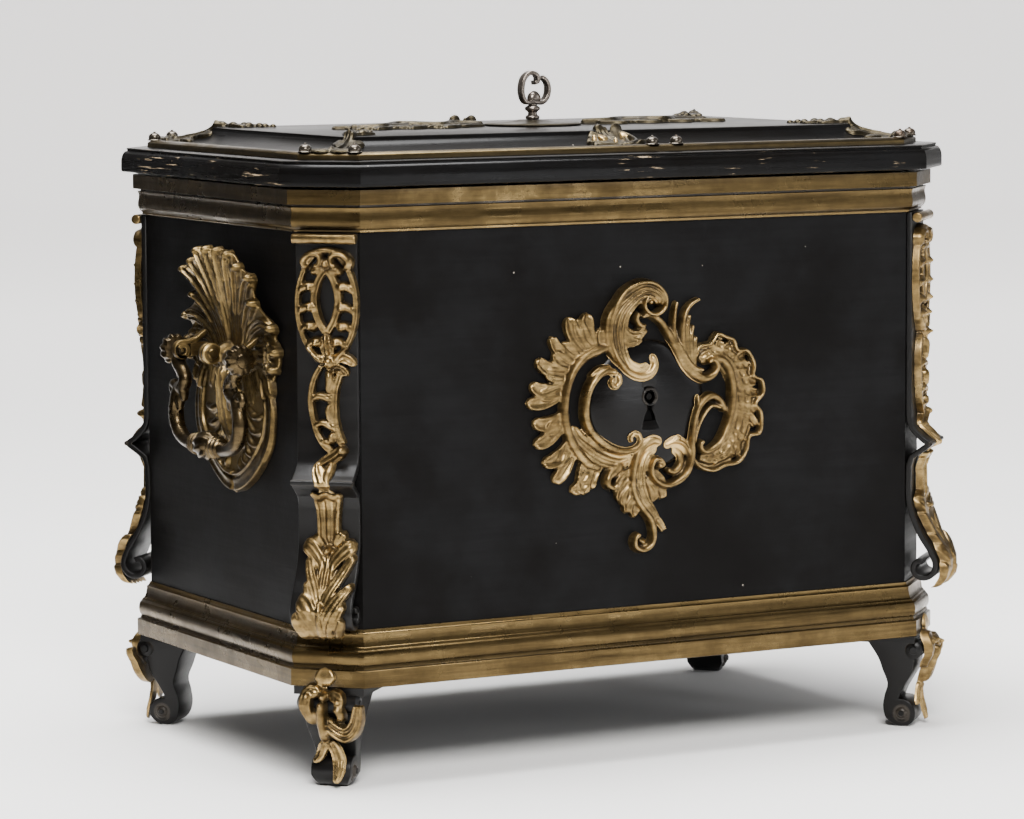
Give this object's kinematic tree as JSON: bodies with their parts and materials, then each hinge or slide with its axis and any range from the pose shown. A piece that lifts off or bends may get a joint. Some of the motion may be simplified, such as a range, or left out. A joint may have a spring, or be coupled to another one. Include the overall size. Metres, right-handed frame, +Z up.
{
  "type": "strongbox",
  "caption": "Iron strongbox on scroll feet with a hinged lid, drop handles, gilt mounts and a keyed lock in the lid that throws sliding bolts under a ledge.",
  "frame": {"origin": "on the floor under the middle of the box", "axes": "+Z up, front towards -Y, long side along X"},
  "size_m": [0.7046, 0.4318, 0.5936],
  "materials": {
    "black_iron": "blackened, satin, lightly worn",
    "bare_iron": "bare, filed",
    "gilt_moulding": "worn gilt",
    "gilt_mount": "burnished gilt with dark recesses",
    "handle_brass": "darkened brass",
    "dark_bronze": "dark bronze"
  },
  "bodies": {
    "case": {"floor_plate": "black_iron", "front_plate": "black_iron", "back_plate": "black_iron", "left_plate": "black_iron", "right_plate": "black_iron", "base_moulding": "gilt_moulding", "cornice_moulding": "gilt_moulding", "rim_ledge": "bare_iron", "corner_strap_front_right": "black_iron", "corner_strap_back_right": "black_iron", "corner_strap_back_left": "black_iron", "corner_strap_front_left": "black_iron", "corner_mount_front_right": "gilt_mount", "corner_mount_back_right": "gilt_mount", "corner_mount_back_left": "gilt_mount", "corner_mount_front_left": "gilt_mount", "corner_leaf_front_right": "gilt_mount", "corner_leaf_back_right": "gilt_mount", "corner_leaf_back_left": "gilt_mount", "corner_leaf_front_left": "gilt_mount", "foot_scroll_front_right": "black_iron", "foot_scroll_back_right": "black_iron", "foot_scroll_back_left": "black_iron", "foot_scroll_front_left": "black_iron", "foot_leaf_front_right": "gilt_mount", "foot_leaf_back_right": "gilt_mount", "foot_leaf_back_left": "gilt_mount", "foot_leaf_front_left": "gilt_mount", "keyhole_boss": "black_iron", "front_cartouche": "gilt_mount", "handle_plate_left": "handle_brass", "handle_plate_right": "handle_brass", "hinge_leaf_case_left": "bare_iron", "hinge_leaf_case_right": "bare_iron", "hinge_pin_left": "bare_iron", "hinge_pin_right": "bare_iron"},
    "lid": {"hinge_leaf_lid_left": "bare_iron", "hinge_leaf_lid_right": "bare_iron", "lid_frame": "black_iron", "lid_panel": "black_iron", "lid_band": "dark_bronze", "lid_leaf_front_right": "dark_bronze", "lid_leaf_back_right": "dark_bronze", "lid_leaf_back_left": "dark_bronze", "lid_leaf_front_left": "dark_bronze", "lid_shell_front": "gilt_mount", "lid_shell_back": "gilt_mount", "lid_spray_right": "dark_bronze", "lid_spray_left": "dark_bronze", "key_plate": "dark_bronze", "lock_plate": "bare_iron", "lock_bridge": "bare_iron"},
    "left_bail": {"handle_bail_left": "handle_brass"},
    "right_bail": {"handle_bail_right": "handle_brass"},
    "pinion": {"lock_pinion": "bare_iron"},
    "lid_key": {"key": "bare_iron"},
    "front_bolt": {"bolt_front": "bare_iron"},
    "right_bolt": {"bolt_right": "bare_iron"},
    "back_bolt": {"bolt_back": "bare_iron"},
    "left_bolt": {"bolt_left": "bare_iron"}
  },
  "joints": [
    {"name": "lid_hinge", "type": "hinge", "parent": "case", "child": "lid", "pos_m": [0, 0.2109, 0.498], "axis": [-1, 0, 0], "range_deg": [0, 95]},
    {"name": "left_handle", "type": "hinge", "parent": "case", "child": "left_bail", "pos_m": [-0.3393, -0.037, 0.356], "axis": [0, 1, 0], "range_deg": [-5, 95]},
    {"name": "right_handle", "type": "hinge", "parent": "case", "child": "right_bail", "pos_m": [0.3393, -0.037, 0.356], "axis": [0, -1, 0], "range_deg": [-5, 95]},
    {"name": "key_turn", "type": "hinge", "parent": "lid", "child": "pinion", "pos_m": [0, 0, 0.49], "axis": [0, 0, 1], "range_deg": [0, 60]},
    {"name": "key_lift", "type": "slide", "parent": "pinion", "child": "lid_key", "axis": [0, 0, 1], "range_m": [0, 0.08]},
    {"name": "front_bolt_throw", "type": "slide", "parent": "lid", "child": "front_bolt", "axis": [0, -1, 0], "range_m": [0, 0.01833]},
    {"name": "right_bolt_throw", "type": "slide", "parent": "lid", "child": "right_bolt", "axis": [1, 0, 0], "range_m": [0, 0.01833]},
    {"name": "back_bolt_throw", "type": "slide", "parent": "lid", "child": "back_bolt", "axis": [0, 1, 0], "range_m": [0, 0.01833]},
    {"name": "left_bolt_throw", "type": "slide", "parent": "lid", "child": "left_bolt", "axis": [-1, 0, 0], "range_m": [0, 0.01833]}
  ],
  "couplings": [
    {"joint": "front_bolt_throw", "follows": "key_turn", "m_per_rad": 0.0175},
    {"joint": "right_bolt_throw", "follows": "key_turn", "m_per_rad": 0.0175},
    {"joint": "back_bolt_throw", "follows": "key_turn", "m_per_rad": 0.0175},
    {"joint": "left_bolt_throw", "follows": "key_turn", "m_per_rad": 0.0175}
  ]
}
